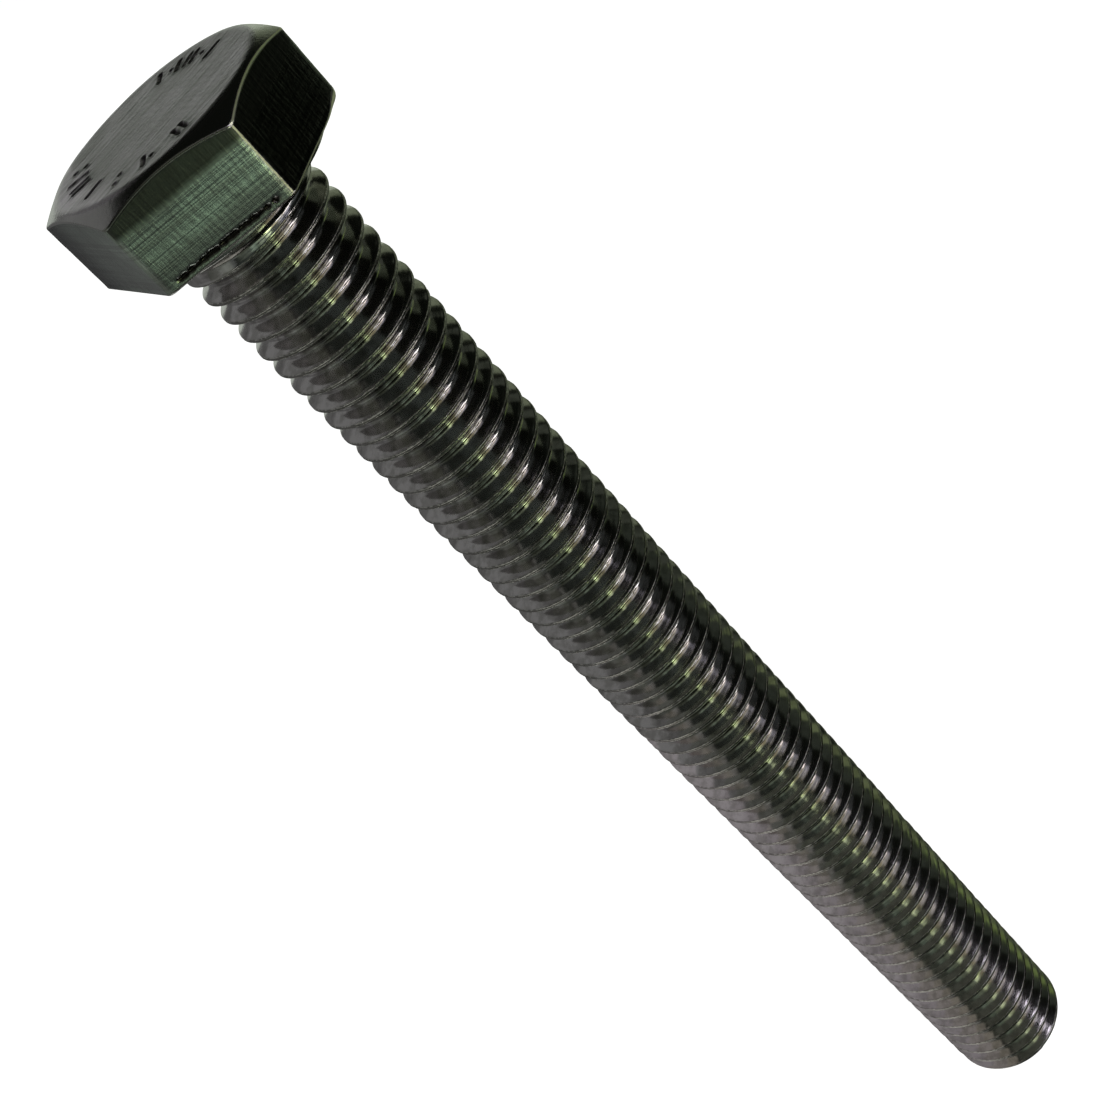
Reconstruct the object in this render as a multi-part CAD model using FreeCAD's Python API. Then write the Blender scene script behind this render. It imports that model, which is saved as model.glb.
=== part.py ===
"""Fully threaded hex head bolt, 1/2-13 UNC x 5 in, forged and thread-rolled from one piece of stainless bar.

Frame: millimetres, origin at the centre of the bearing face under the head, +Z along the bolt's axis from the
threaded end to the head.  One pair of hex flats faces +Y and -Y, so two corners lie on the X axis.
"""
import FreeCAD, Part
import math
import os

Vector = FreeCAD.Vector
INCH = 25.4

# Thread: unified coarse, 13 turns to the inch, external class 2A
THREADS_PER_INCH = 13
PITCH = INCH / THREADS_PER_INCH
MAJOR_DIAMETER = 12.6
FLANK_HALF_ANGLE = math.radians(30)
ROOT_RADIUS = 0.144 * PITCH
THREAD_DEPTH = 0.60 * PITCH
LENGTH = 5 * INCH

# Head: hexagon with a 30 degree crown and a thin round washer face
ACROSS_FLATS = 19.0
HEAD_HEIGHT = 7.8
WASHER_FACE_HEIGHT = 0.4
WASHER_FACE_DIAMETER = 18.0
CROWN_FLAT_DIAMETER = 17.95
CROWN_ANGLE = math.radians(30)
CORNER_RADIUS = 0.8

# Neck between the bearing face and the first thread, at the size of the rolled blank
NECK_DIAMETER = 11.3
NECK_LENGTH = 0.5 * PITCH
NECK_CONE_LENGTH = 0.35
NECK_FILLET = 0.7

# Threaded end: a chamfer that runs out below the thread's root
END_DIAMETER = 9.3
END_CHAMFER_LENGTH = 1.5

# The groove rises out of the shank over this much of a turn near the head.  Its root crosses the XZ plane on
# the +X side at heights of a whole number of pitches plus this share of one
RUN_OUT_TURN = 0.85
RUN_OUT_START = NECK_LENGTH + 0.85 * PITCH
ROOT_PHASE = 0.52

MAJOR_RADIUS = MAJOR_DIAMETER / 2
MINOR_RADIUS = MAJOR_RADIUS - THREAD_DEPTH


def polar(radius, degrees, height=0.0):
    """A point at a distance from the axis, at an angle from +X, at a height."""
    angle = math.radians(degrees)
    return Vector(radius * math.cos(angle), radius * math.sin(angle), height)


def revolve(outline):
    """Turn a closed outline of (radius, height) points about the axis into a solid."""
    points = [Vector(radius, 0, height) for radius, height in outline]
    face = Part.Face(Part.makePolygon(points + points[:1]))
    return face.revolve(Vector(0, 0, 0), Vector(0, 0, 1), 360)


def hexagon_prism():
    """The six flats, with their upright corners eased, from the washer face's top to the crown."""
    corner = ACROSS_FLATS / math.sqrt(3)
    points = [polar(corner, 60 * side, WASHER_FACE_HEIGHT) for side in range(6)]
    face = Part.Face(Part.makePolygon(points + points[:1]))
    prism = face.extrude(Vector(0, 0, HEAD_HEIGHT - WASHER_FACE_HEIGHT))
    upright = [edge for edge in prism.Edges if abs(edge.BoundBox.ZLength) > 1]
    return prism.makeFillet(CORNER_RADIUS, upright)


def crown_envelope():
    """A round blank whose top is a 30 degree cone, which cuts the hexagon's top corners."""
    flat = CROWN_FLAT_DIAMETER / 2
    outer = ACROSS_FLATS
    drop = (outer - flat) * math.tan(CROWN_ANGLE)
    outline = [(0, -1), (outer, -1), (outer, HEAD_HEIGHT - drop), (flat, HEAD_HEIGHT), (0, HEAD_HEIGHT)]
    return revolve(outline)


def head():
    """Hexagon with its crown, standing on the round washer face."""
    hexagon = hexagon_prism().common(crown_envelope())
    washer_face = Part.makeCylinder(WASHER_FACE_DIAMETER / 2, WASHER_FACE_HEIGHT + 0.5)
    return hexagon.fuse(washer_face).removeSplitter()


def shank_blank():
    """Fillet, neck, thread-sized shank and chamfered end as one turned shape, reaching up into the head."""
    neck = NECK_DIAMETER / 2
    arc_steps = 6
    fillet = []
    for step in range(arc_steps + 1):
        angle = math.pi / 2 * step / arc_steps
        fillet.append((neck + NECK_FILLET * (1 - math.sin(angle)), -NECK_FILLET * (1 - math.cos(angle))))
    outline = [(0, 1.0), (neck + NECK_FILLET, 1.0)]
    outline += fillet
    outline += [
        (neck, -NECK_LENGTH),
        (MAJOR_RADIUS, -NECK_LENGTH - NECK_CONE_LENGTH),
        (MAJOR_RADIUS, -LENGTH + END_CHAMFER_LENGTH),
        (END_DIAMETER / 2, -LENGTH),
        (0, -LENGTH),
    ]
    return revolve(outline)


def groove_section(depth_radius):
    """Closed section of the thread groove in the XZ plane, its rounded root at the given radius and z = 0."""
    reach = MAJOR_RADIUS + 0.4
    sine = math.sin(FLANK_HALF_ANGLE)
    cosine = math.cos(FLANK_HALF_ANGLE)
    centre = depth_radius + ROOT_RADIUS
    touch_r = centre - ROOT_RADIUS * sine
    touch_z = ROOT_RADIUS * cosine
    mouth_z = touch_z + (reach - touch_r) * math.tan(FLANK_HALF_ANGLE)
    upper_mouth = Vector(reach, 0, mouth_z)
    upper_touch = Vector(touch_r, 0, touch_z)
    root = Vector(depth_radius, 0, 0)
    lower_touch = Vector(touch_r, 0, -touch_z)
    lower_mouth = Vector(reach, 0, -mouth_z)
    edges = [
        Part.LineSegment(upper_mouth, upper_touch).toShape(),
        Part.Arc(upper_touch, root, lower_touch).toShape(),
        Part.LineSegment(lower_touch, lower_mouth).toShape(),
        Part.LineSegment(lower_mouth, upper_mouth).toShape(),
    ]
    return Part.Wire(edges)


def sweep_groove(turns, start_depth, end_depth, bottom, start_turn):
    """Carry the groove's section up a right-hand helix, from one root radius to another."""
    rise = turns * PITCH
    helix = Part.makeLongHelix(PITCH, rise, MAJOR_RADIUS, 0, False)
    sections = [groove_section(start_depth)]
    if end_depth != start_depth:
        last = groove_section(end_depth)
        last.rotate(Vector(0, 0, 0), Vector(0, 0, 1), 360 * turns)
        last.translate(Vector(0, 0, rise))
        sections.append(last)
    shell = Part.BRepOffsetAPI.MakePipeShell(Part.Wire(helix.Edges))
    shell.setAuxiliarySpine(Part.Wire(Part.makeLongHelix(PITCH, rise, MAJOR_RADIUS * 2, 0, False).Edges), True, 0)
    for section in sections:
        shell.add(section, False, False)
    shell.build()
    shell.makeSolid()
    solid = shell.shape()
    solid.rotate(Vector(0, 0, 0), Vector(0, 0, 1), 360 * start_turn)
    solid.translate(Vector(0, 0, bottom))
    return solid


def hex_bolt():
    """The whole bolt as the one solid that it really is."""
    blank = head().fuse(shank_blank()).removeSplitter()
    bottom = (ROOT_PHASE - 2) * PITCH - LENGTH
    turns = (-RUN_OUT_START - bottom) / PITCH
    groove = sweep_groove(turns, MINOR_RADIUS, MINOR_RADIUS, bottom, 0)
    threaded = blank.cut(groove)
    run_out = sweep_groove(RUN_OUT_TURN, MINOR_RADIUS, MAJOR_RADIUS + 0.1, -RUN_OUT_START, turns)
    return threaded.cut(run_out)


def main():
    """Write the bolt's one node."""
    os.makedirs("parts", exist_ok=True)
    bolt = hex_bolt()
    print("solids", len(bolt.Solids), "valid", bolt.isValid(), "volume", round(bolt.Volume, 1), "mm3")
    bolt.exportStep("parts/hex_bolt.step")


main()
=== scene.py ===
import logging
import math
from dataclasses import dataclass, field
from enum import Enum
from typing import Any, Optional

import bpy
import numpy as np
from mathutils import Matrix, Vector


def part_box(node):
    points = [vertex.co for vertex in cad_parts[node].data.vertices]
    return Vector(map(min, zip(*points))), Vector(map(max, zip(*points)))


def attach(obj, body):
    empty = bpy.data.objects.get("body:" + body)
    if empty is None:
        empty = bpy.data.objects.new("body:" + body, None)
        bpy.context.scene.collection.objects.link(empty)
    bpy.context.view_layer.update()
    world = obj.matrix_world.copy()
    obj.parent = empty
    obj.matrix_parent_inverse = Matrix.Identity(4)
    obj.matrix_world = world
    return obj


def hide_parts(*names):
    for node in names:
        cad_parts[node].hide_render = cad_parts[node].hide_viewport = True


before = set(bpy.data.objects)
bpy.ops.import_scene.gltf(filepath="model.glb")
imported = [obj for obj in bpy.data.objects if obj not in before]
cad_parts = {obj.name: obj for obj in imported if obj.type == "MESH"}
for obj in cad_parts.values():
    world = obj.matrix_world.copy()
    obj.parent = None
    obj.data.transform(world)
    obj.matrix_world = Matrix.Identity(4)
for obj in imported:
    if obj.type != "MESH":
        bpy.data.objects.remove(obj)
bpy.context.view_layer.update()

LOG = logging.getLogger("hex_bolt")

MM = 0.001
INCH = 25.4
THREADS_PER_INCH = 13
PITCH = INCH / THREADS_PER_INCH
NODE = "hex_bolt"
BODY = "root"
SHORTEST_NORMAL = 1e-9
ON_AXIS = 1e-6

Array = np.ndarray


# ---------------------------------------------------------------- helpers on whole arrays


def smooth_step(low: float, high: float, values: Array) -> Array:
    """Rise from 0 at low to 1 at high along a cubic with level ends.

    Args:
        low: value where the rise starts.
        high: value where the rise is complete; it may be below low for a fall.
        values: where to read the curve.

    Returns:
        The curve's height at each value.
    """
    share = np.clip((values - low) / (high - low), 0.0, 1.0)
    return share * share * (3.0 - 2.0 * share)


def waves(values: Array, cycles: tuple[float, ...], seed: int) -> Array:
    """Sum of sines with seeded phases, scaled to stay within about 1 either way.

    Args:
        values: positions, in turns.
        cycles: cycles per turn of each sine.
        seed: fixes the phases.

    Returns:
        The sum at each position.
    """
    phases = np.random.default_rng(seed).uniform(0.0, 2.0 * math.pi, len(cycles))
    total = sum(np.sin(2.0 * math.pi * rate * values + phase) for rate, phase in zip(cycles, phases))
    return total / len(cycles)


def unit_points(radius: Array, angle: Array, height: Array) -> Array:
    """Points from cylindrical coordinates, one row of x, y, z each.

    Args:
        radius: distances from the axis.
        angle: angles from +X, in radians.
        height: heights.

    Returns:
        An array with a last axis of 3.
    """
    return np.stack([radius * np.cos(angle), radius * np.sin(angle), height], axis=-1)


@dataclass
class Skin:
    """A closed surface ready for Blender: points in millimetres, triangles, and what its finish reads.

    Where normals are given, one for each corner of each triangle, they replace the ones that Blender would
    work out.
    """

    points: Array
    corners: Array
    corner_uv: Array
    masks: dict[str, Array] = field(default_factory=dict)
    normals: Optional[Array] = None

    def welded(self, pole: Array) -> "Skin":
        """Join all points marked as lying on a pole into one, and drop the triangles that this flattens.

        Args:
            pole: for each point, the index of the point that it becomes.

        Returns:
            The same surface without degenerate triangles or unused points.
        """
        corners = pole[self.corners]
        first, second, third = corners.T
        keep = (first != second) & (second != third) & (third != first)
        used, packed = np.unique(corners[keep], return_inverse=True)
        masks = {name: values[used] for name, values in self.masks.items()}
        normals = None if self.normals is None else self.normals[keep]
        return Skin(self.points[used], packed.reshape(-1, 3), self.corner_uv[keep], masks, normals)

    def to_object(self, name: str) -> bpy.types.Object:
        """Put the surface into the scene in metres, smooth shaded, with its UV map and mask attributes.

        Args:
            name: the object's name.

        Returns:
            The new object, at the origin.
        """
        mesh = bpy.data.meshes.new(name)
        count = len(self.corners)
        mesh.vertices.add(len(self.points))
        mesh.vertices.foreach_set("co", (self.points * MM).astype(np.float32).ravel())
        mesh.loops.add(3 * count)
        mesh.loops.foreach_set("vertex_index", self.corners.astype(np.int32).ravel())
        mesh.polygons.add(count)
        mesh.polygons.foreach_set("loop_start", np.arange(0, 3 * count, 3, dtype=np.int32))
        mesh.polygons.foreach_set("use_smooth", np.ones(count, dtype=bool))
        mesh.update(calc_edges=True)
        layer = mesh.uv_layers.new(name="surface")
        layer.data.foreach_set("uv", self.corner_uv.astype(np.float32).ravel())
        for label, values in self.masks.items():
            attribute = mesh.attributes.new(label, "FLOAT", "POINT")
            attribute.data.foreach_set("value", values.astype(np.float32))
        if self.normals is not None:
            mesh.normals_split_custom_set(self.normals.reshape(-1, 3).tolist())
        mesh.validate()
        made = bpy.data.objects.new(name, mesh)
        bpy.context.scene.collection.objects.link(made)
        return made


def split_quads(quads: Array, uv: Array) -> tuple[Array, Array]:
    """Cut four-cornered faces into two triangles each.

    Args:
        quads: point indices, four a row, counter-clockwise seen from outside.
        uv: texture positions of the same corners, shaped (rows, 4, 2).

    Returns:
        Triangles and their corners' texture positions.
    """
    order = np.array([[0, 1, 2], [0, 2, 3]])
    return quads[:, order].reshape(-1, 3), uv[:, order].reshape(-1, 3, 2)


# ---------------------------------------------------------------- shader bench


class Signal:
    """A number carried by a shader socket, with arithmetic written as Python expressions."""

    def __init__(self, bench: "Bench", socket: bpy.types.NodeSocket) -> None:
        """Keep the socket and the bench that new nodes go on."""
        self.bench = bench
        self.socket = socket

    def _join(self, operation: str, *values: Any) -> "Signal":
        """Add one Math node.

        Args:
            operation: the Math node's operation.
            values: its inputs in order, numbers or signals.

        Returns:
            The node's result.
        """
        node = self.bench.node("ShaderNodeMath", {"operation": operation}, dict(enumerate(values)))
        return Signal(self.bench, node.outputs[0])

    def __add__(self, other: Any) -> "Signal":
        """Sum."""
        return self._join("ADD", self, other)

    def __radd__(self, other: Any) -> "Signal":
        """Sum, number first."""
        return self._join("ADD", other, self)

    def __sub__(self, other: Any) -> "Signal":
        """Difference."""
        return self._join("SUBTRACT", self, other)

    def __rsub__(self, other: Any) -> "Signal":
        """Difference, number first."""
        return self._join("SUBTRACT", other, self)

    def __mul__(self, other: Any) -> "Signal":
        """Product."""
        return self._join("MULTIPLY", self, other)

    def __rmul__(self, other: Any) -> "Signal":
        """Product, number first."""
        return self._join("MULTIPLY", other, self)

    def rise(self, low: float, high: float) -> "Signal":
        """A smooth step from 0 at low to 1 at high.

        Args:
            low: value where the step starts.
            high: value where it ends.

        Returns:
            The step's height.
        """
        settings = {"interpolation_type": "SMOOTHSTEP"}
        inputs = {"Value": self, "From Min": low, "From Max": high}
        return Signal(self.bench, self.bench.node("ShaderNodeMapRange", settings, inputs).outputs[0])


class Bench:
    """Builds one material's node tree round a Principled surface."""

    def __init__(self, name: str) -> None:
        """Start an empty material of that name with its surface and output joined."""
        self.material = bpy.data.materials.new(name)
        self.material.use_nodes = True
        self.tree = self.material.node_tree
        self.tree.nodes.clear()
        self.surface = self.node("ShaderNodeBsdfPrincipled")
        self.node("ShaderNodeOutputMaterial", {}, {"Surface": self.surface.outputs[0]})

    def node(
        self,
        kind: str,
        settings: Optional[dict[str, Any]] = None,
        inputs: Optional[dict[Any, Any]] = None,
    ) -> bpy.types.Node:
        """Add a node, set its properties, then fill its sockets.

        Args:
            kind: the node's type name.
            settings: properties, set first.
            inputs: socket name or number to a number, colour, Signal or socket.

        Returns:
            The new node.
        """
        made = self.tree.nodes.new(kind)
        for key, value in (settings or {}).items():
            setattr(made, key, value)
        for key, value in (inputs or {}).items():
            self.feed(made, key, value)
        return made

    def feed(self, target: bpy.types.Node, key: Any, value: Any) -> None:
        """Give one socket its value or link.

        Args:
            target: the node.
            key: the socket's name or number.
            value: a Signal or socket to link, or a plain value.
        """
        socket = target.inputs[key]
        if isinstance(value, Signal):
            value = value.socket
        if isinstance(value, bpy.types.NodeSocket):
            self.tree.links.new(value, socket)
        else:
            socket.default_value = value

    def attribute(self, name: str) -> Signal:
        """A mask painted on the mesh by its builder."""
        node = self.node("ShaderNodeAttribute", {"attribute_name": name})
        return Signal(self, node.outputs["Fac"])

    def place(self, output: str, scale: tuple[float, float, float]) -> bpy.types.NodeSocket:
        """Coordinates stretched for a pattern.

        Args:
            output: "Object" for the object's own space in metres, or "UV" for the piece's own map.
            scale: factor along each axis.

        Returns:
            The vector socket.
        """
        source = self.node("ShaderNodeTexCoord")
        mapping = self.node("ShaderNodeMapping", {}, {"Vector": source.outputs[output], "Scale": scale})
        return mapping.outputs[0]

    def along(self, output: str, axis: int) -> Signal:
        """One coordinate as a number.

        Args:
            output: "Object" or "UV".
            axis: 0, 1 or 2.

        Returns:
            The coordinate.
        """
        split = self.node("ShaderNodeSeparateXYZ", {}, {"Vector": self.place(output, (1.0, 1.0, 1.0))})
        return Signal(self, split.outputs[axis])

    def noise(
        self,
        where: bpy.types.NodeSocket,
        scale: float,
        detail: float = 2.0,
        rough: float = 0.5,
    ) -> Signal:
        """Cloudy noise from 0 to 1.

        Args:
            where: coordinates.
            scale: cells per unit of the coordinates.
            detail: octaves.
            rough: strength of the finer octaves.

        Returns:
            The noise value.
        """
        inputs = {"Vector": where, "Scale": scale, "Detail": detail, "Roughness": rough}
        return Signal(self, self.node("ShaderNodeTexNoise", {}, inputs).outputs[0])

    def blend(self, share: Any, first: Any, second: Any) -> bpy.types.NodeSocket:
        """Mix two colours.

        Args:
            share: how much of the second, number or Signal.
            first: colour or socket at 0.
            second: colour or socket at 1.

        Returns:
            The mixed colour.
        """
        node = self.node("ShaderNodeMix", {"data_type": "RGBA"})
        self.feed(node, 0, share)
        self.feed(node, 6, first)
        self.feed(node, 7, second)
        return node.outputs[2]

    def bump(self, height: Signal, depth_mm: float) -> None:
        """Feed the surface's normal from a height map.

        Args:
            height: the height, where 1 stands depth_mm above 0.
            depth_mm: how tall a height of 1 is, in millimetres.
        """
        inputs = {"Height": height, "Distance": depth_mm * MM, "Strength": 1.0}
        node = self.node("ShaderNodeBump", {}, inputs)
        self.feed(self.surface, "Normal", node.outputs[0])


# ---------------------------------------------------------------- finishes


@dataclass(frozen=True)
class ForgedFinish:
    """Satin forged stainless for the head: mottled top, streaked and darkened flats, edges bright with wear
    and painted highlights, dark marks.

    The tints of the top and the flats are painted reflections; the dark bands high and low on the flats and
    the near black on some sides are painted shade.
    """


    clean: tuple[float, float, float, float] = (0.50, 0.49, 0.47, 1.0)
    dull: tuple[float, float, float, float] = (0.30, 0.295, 0.28, 1.0)
    # Darker tone for the pressed marks and the torn groove.
    hollow_dark: tuple[float, float, float, float] = (0.05, 0.045, 0.04, 1.0)
    # Bright edge tone: wear and a painted highlight.
    wear_and_glint: tuple[float, float, float, float] = (0.93, 0.94, 0.70, 1.0)
    # Mauve tint of the top: a painted reflection.
    top_reflection_tint: tuple[float, float, float, float] = (0.66, 0.59, 0.66, 1.0)
    # Green tint of the flats: a painted reflection.
    side: tuple[float, float, float, float] = (0.72, 0.83, 0.72, 1.0)
    # Dark tone for the painted shade band high on the flats; also the dark smudges round the marks.
    scale: tuple[float, float, float, float] = (0.06, 0.06, 0.05, 1.0)
    # Near black for the painted shade on some sides of the flats.
    shade_tone: tuple[float, float, float, float] = (0.015, 0.015, 0.013, 1.0)
    # Heights in millimetres above and below which the flats take painted shade bands.
    upper_shade_from: float = 5.3
    lower_shade_below: float = 2.5
    cloud_cells: float = 260.0
    fine_cells: float = 2600.0
    scratch_cells: float = 900.0
    relief_depth: float = 0.05

    def material(self) -> bpy.types.Material:
        """Build the material.

        Returns:
            The material, which reads the masks top, flat, edge, stamp, torn, scaled, oxide and halo, the UV
            map and Object coordinates.
        """
        bench = Bench("forged_stainless")
        top = bench.attribute("top")
        flat = bench.attribute("flat")
        edge = bench.attribute("edge")
        stamp = bench.attribute("stamp")
        torn = bench.attribute("torn")
        flat_shade = bench.attribute("flat_shade")
        painted_shade = bench.attribute("painted_shade")
        halo = bench.attribute("halo")
        cloud = bench.noise(bench.place("Object", (1.0, 1.0, 1.0)), self.cloud_cells, 4.0, 0.6)
        fine = bench.noise(bench.place("Object", (1.0, 1.0, 1.0)), self.fine_cells, 3.0, 0.6)
        scratch = bench.noise(bench.place("Object", (2.4, 0.16, 0.3)), self.scratch_cells, 3.0, 0.55)
        streak = bench.noise(bench.place("UV", (4.5, 0.3, 1.0)), 1.6, 3.0, 0.6)
        band = bench.noise(bench.place("UV", (0.03, 1.3, 1.0)), 1.7, 3.0, 0.6)
        # Painted shade: a dark band high on the flats, weighted side by side.
        upper = flat_shade * (bench.along("UV", 1) + 0.5 * cloud).rise(self.upper_shade_from, self.upper_shade_from + 0.9)
        # The top and the flats take their painted reflection tints.
        colour = bench.blend(top, bench.blend(flat, self.clean, self.side), self.top_reflection_tint)
        colour = bench.blend((cloud.rise(0.35, 0.68)) * 0.4, colour, self.dull)
        colour = bench.blend(top * (scratch.rise(0.5, 0.62)) * 0.35, colour, self.dull)
        colour = bench.blend(flat * (band.rise(0.48, 0.56)) * 0.4, colour, self.dull)
        colour = bench.blend(flat * (streak.rise(0.5, 0.62)) * 0.35, colour, self.dull)
        # Painted shade: a duller band low on the flats, weighted side by side.
        above_low = (bench.along("UV", 1) + 0.4 * cloud).rise(self.lower_shade_below, self.lower_shade_below + 0.8)
        lower = flat_shade * (1.0 - above_low)
        colour = bench.blend(lower * 0.5, colour, self.dull)
        colour = bench.blend(upper * 0.9, colour, self.scale)
        # Painted shade: some sides of the flats darkened towards near black.
        colour = bench.blend(painted_shade * 0.95, colour, self.shade_tone)
        colour = bench.blend(halo * (scratch.rise(0.38, 0.58)) * 0.8, colour, self.scale)
        # The marks and the torn groove darkened.
        colour = bench.blend(stamp * (0.7 + 0.3 * cloud), colour, self.hollow_dark)
        colour = bench.blend(torn.rise(0.08, 0.4), colour, self.hollow_dark)
        # Edges brightened: wear, with painted highlights where the side and corner weights are larger.
        colour = bench.blend((edge * (0.4 + fine)).rise(0.35, 0.7), colour, self.wear_and_glint)
        bench.feed(bench.surface, "Base Color", colour)
        bench.feed(bench.surface, "Metallic", 1.0)
        rough = 0.19 + 0.06 * cloud + top * 0.12 + flat * (0.05 * streak) + upper * 0.14 + stamp * 0.3
        bench.feed(bench.surface, "Roughness", rough + edge * 0.2)
        relief = top * (1.1 * scratch + 0.4 * fine) + flat * (0.7 * streak + 0.8 * band) + 0.22 * fine
        bench.bump(relief, self.relief_depth)
        return bench.material


@dataclass(frozen=True)
class RolledFinish:
    """Rolled stainless for the shank: burnished flanks, crests dull and darkened with painted shade, lips
    bright with wear and painted highlights, darker roots.
    """

    clean: tuple[float, float, float, float] = (0.56, 0.54, 0.53, 1.0)
    dull: tuple[float, float, float, float] = (0.33, 0.32, 0.30, 1.0)
    # Darker tone for the roots, in patches.
    hollow_dark: tuple[float, float, float, float] = (0.10, 0.095, 0.08, 1.0)
    # Dark crest tone: dull rolled metal and painted shade.
    dull_crest_and_shade: tuple[float, float, float, float] = (0.17, 0.165, 0.145, 1.0)
    # Bright lip tone: wear and a painted highlight.
    wear_and_glint: tuple[float, float, float, float] = (0.85, 0.84, 0.78, 1.0)
    cloud_cells: float = 900.0
    fine_cells: float = 3200.0
    relief_depth: float = 0.05

    def material(self) -> bpy.types.Material:
        """Build the material.

        Returns:
            The material, which reads the masks crest, lip, root and end, the helical UV map and Object
            coordinates.
        """
        bench = Bench("rolled_stainless")
        crest = bench.attribute("crest")
        root = bench.attribute("root")
        end = bench.attribute("end")
        lip = bench.attribute("lip")
        cloud = bench.noise(bench.place("Object", (1.0, 1.0, 1.0)), self.cloud_cells, 4.0, 0.6)
        fine = bench.noise(bench.place("Object", (1.0, 1.0, 1.0)), self.fine_cells, 2.0, 0.6)
        drag = bench.noise(bench.place("UV", (9.0, 6.0, 1.0)), 2.0, 2.0, 0.5)
        grains = bench.noise(bench.place("UV", (130.0, 9.0, 1.0)), 1.0, 1.0, 0.5)
        colour = bench.blend(cloud.rise(0.4, 0.65) * 0.75, self.clean, self.dull)
        # Roots darkened in patches.
        colour = bench.blend(root * (cloud.rise(0.35, 0.6)) * 0.6, colour, self.hollow_dark)
        # Crests darkened: dull metal and painted shade.
        colour = bench.blend(crest * 0.8, colour, self.dull_crest_and_shade)
        # Bright dotted lines along the crest edges: wear and painted highlights.
        colour = bench.blend(lip * grains.rise(0.45, 0.58), colour, self.wear_and_glint)
        bench.feed(bench.surface, "Base Color", colour)
        bench.feed(bench.surface, "Metallic", 1.0)
        rough = 0.09 + 0.06 * cloud + 0.02 * drag + crest * 0.14 + end * 0.25 + lip * 0.22
        bench.feed(bench.surface, "Roughness", rough)
        relief = 0.12 * drag + crest * (0.9 * grains) + 0.02 * fine + end * (0.8 * fine)
        bench.bump(relief, self.relief_depth)
        return bench.material


# ---------------------------------------------------------------- head


class MarkKind(Enum):
    """Shapes that the dies press into the top of the head: plain strokes and dots, which spell nothing."""

    BAR = ((0.0, -0.75, 0.0, 0.75),)
    PAIR = ((-0.35, -0.7, -0.35, 0.7), (0.35, -0.7, 0.35, 0.7))
    DOT = ((0.0, 0.0, 0.0, 0.02),)
    DOTS = ((0.0, -0.5, 0.0, -0.48), (0.0, 0.5, 0.0, 0.52))
    BAR_AND_DOT = ((-0.3, -0.7, -0.3, 0.7), (0.4, 0.0, 0.4, 0.02))


@dataclass
class StampedMarks:
    """Two rows of generic strokes and dots pressed into the head's top near its rim, angles in degrees."""

    radius: float = 6.75
    stroke: float = 0.23
    depth: float = 0.14
    lip: float = 0.03
    near_row: tuple[tuple[float, MarkKind], ...] = (
        (225.0, MarkKind.DOTS),
        (238.0, MarkKind.BAR),
        (252.0, MarkKind.PAIR),
        (277.0, MarkKind.BAR),
        (301.0, MarkKind.DOTS),
        (324.0, MarkKind.BAR_AND_DOT),
        (349.0, MarkKind.PAIR),
    )
    far_row: tuple[tuple[float, MarkKind], ...] = (
        (92.0, MarkKind.BAR),
        (103.0, MarkKind.DOT),
        (114.0, MarkKind.PAIR),
        (128.0, MarkKind.BAR_AND_DOT),
        (141.0, MarkKind.BAR),
    )

    def closeness(self, radius: Array, angle: Array) -> Array:
        """Distance in millimetres from each point of the top to the nearest stroke's centre line.

        Each mark has its own axes, one along the rim and one along the radius; a stroke is a straight line
        there, and the distance is that to the nearest point of the line.

        Args:
            radius: distances from the axis.
            angle: angles from +X, in radians.

        Returns:
            The distances.
        """
        nearest = np.full(radius.shape, 9.0)
        for degrees, kind in self.near_row + self.far_row:
            turn = angle - math.radians(degrees)
            across = radius * np.sin(turn)
            along = radius * np.cos(turn) - self.radius
            for x0, y0, x1, y1 in kind.value:
                dx, dy = x1 - x0, y1 - y0
                share = np.clip(((across - x0) * dx + (along - y0) * dy) / (dx * dx + dy * dy), 0.0, 1.0)
                gap = np.hypot(across - x0 - share * dx, along - y0 - share * dy)
                nearest = np.minimum(nearest, gap)
        return nearest

    def relief(self, radius: Array, angle: Array) -> tuple[Array, Array]:
        """Height change that the marks make, a groove with a small raised lip, and their mask.

        Args:
            radius: distances from the axis.
            angle: angles from +X, in radians.

        Returns:
            Height change in millimetres, and a mask of 1 inside a stroke.
        """
        gap = self.closeness(radius, angle)
        inside = smooth_step(self.stroke, 0.4 * self.stroke, gap)
        lip = np.exp(-(((gap - 1.35 * self.stroke) / (0.35 * self.stroke)) ** 2))
        return self.lip * lip - self.depth * inside, inside


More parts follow.
